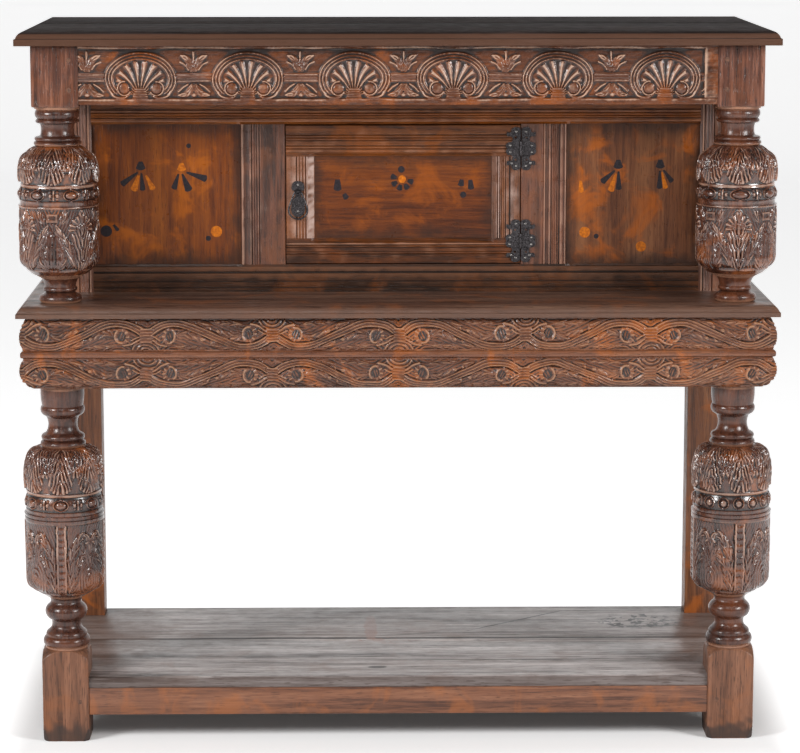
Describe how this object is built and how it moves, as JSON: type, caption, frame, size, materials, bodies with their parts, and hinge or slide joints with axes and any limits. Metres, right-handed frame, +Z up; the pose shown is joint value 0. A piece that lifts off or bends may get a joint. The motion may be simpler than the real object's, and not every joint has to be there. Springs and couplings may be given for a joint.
{
  "type": "court cupboard",
  "caption": "Open two-stage oak court cupboard with bulbous turned columns, carved friezes, a recessed cupboard with a hinged inlaid door, and a low pot board.",
  "frame": {"origin": "on the floor, below the centre of the top board", "axes": "+X to the right seen from the front, -Y towards the front, +Z up"},
  "size_m": [1.232, 0.5204, 1.168],
  "materials": {
    "oak_frame": "dark waxed oak",
    "oak_board": "dark worn oak boards",
    "oak_panel": "warm waxed oak",
    "bog_oak": "dark inlaid wood",
    "light_inlay": "light inlaid wood",
    "iron": "dark wrought iron"
  },
  "bodies": {
    "carcase": {"back_boards": "oak_board", "bottom_rail_back": "oak_frame", "bottom_rail_front": "oak_frame", "bottom_rail_left": "oak_frame", "bottom_rail_right": "oak_frame", "cupboard_rail_bottom": "oak_board", "cupboard_rail_top": "oak_board", "door_stop": "oak_frame", "end_panels": "oak_panel", "end_sills": "oak_frame", "end_stile_left": "oak_frame", "end_stile_right": "oak_frame", "fixed_panel_left": "oak_panel", "fixed_panel_right": "oak_panel", "frieze_lower_front": "oak_frame", "frieze_lower_left": "oak_frame", "frieze_lower_right": "oak_frame", "frieze_upper_front": "oak_frame", "frieze_upper_left": "oak_frame", "frieze_upper_right": "oak_frame", "hinge_leaves_frame": "iron", "hinge_pins": "iron", "inlay_dark_fixed": "bog_oak", "inlay_light_fixed": "light_inlay", "lower_column_left": "oak_frame", "lower_column_right": "oak_frame", "middle_board_front": "oak_board", "middle_board_rear": "oak_board", "middle_rail_back": "oak_frame", "middle_rail_front": "oak_frame", "middle_rail_left": "oak_frame", "middle_rail_right": "oak_frame", "muntin_left": "oak_frame", "muntin_right": "oak_frame", "nails_frame": "iron", "pegs": "oak_frame", "pot_board_front": "oak_board", "pot_board_rear": "oak_board", "rear_post_left": "oak_frame", "rear_post_right": "oak_frame", "top_board_front": "oak_board", "top_board_rear": "oak_board", "top_rail_back": "oak_frame", "top_rail_front": "oak_frame", "top_rail_left": "oak_frame", "top_rail_right": "oak_frame", "upper_column_left": "oak_frame", "upper_column_right": "oak_frame"},
    "door": {"door_panel": "oak_panel", "door_rail_bottom": "oak_frame", "door_rail_top": "oak_frame", "door_stile_handle": "oak_frame", "door_stile_hinge": "oak_frame", "handle_plate": "iron", "handle_staple": "iron", "hinge_leaves_door": "iron", "inlay_dark_door": "bog_oak", "inlay_light_door": "light_inlay", "nails_door": "iron"},
    "drop": {"handle_drop": "iron"}
  },
  "joints": [
    {"name": "door_hinge", "type": "hinge", "parent": "carcase", "child": "door", "pos_m": [0.20492, -0.0848, 0.89035], "axis": [0, 0, 1], "range_deg": [0, 135]},
    {"name": "handle_pivot", "type": "hinge", "parent": "door", "child": "drop", "pos_m": [-0.16408, -0.0878, 0.8965], "axis": [-1, 0, 0], "range_deg": [-2.5, 100]}
  ]
}
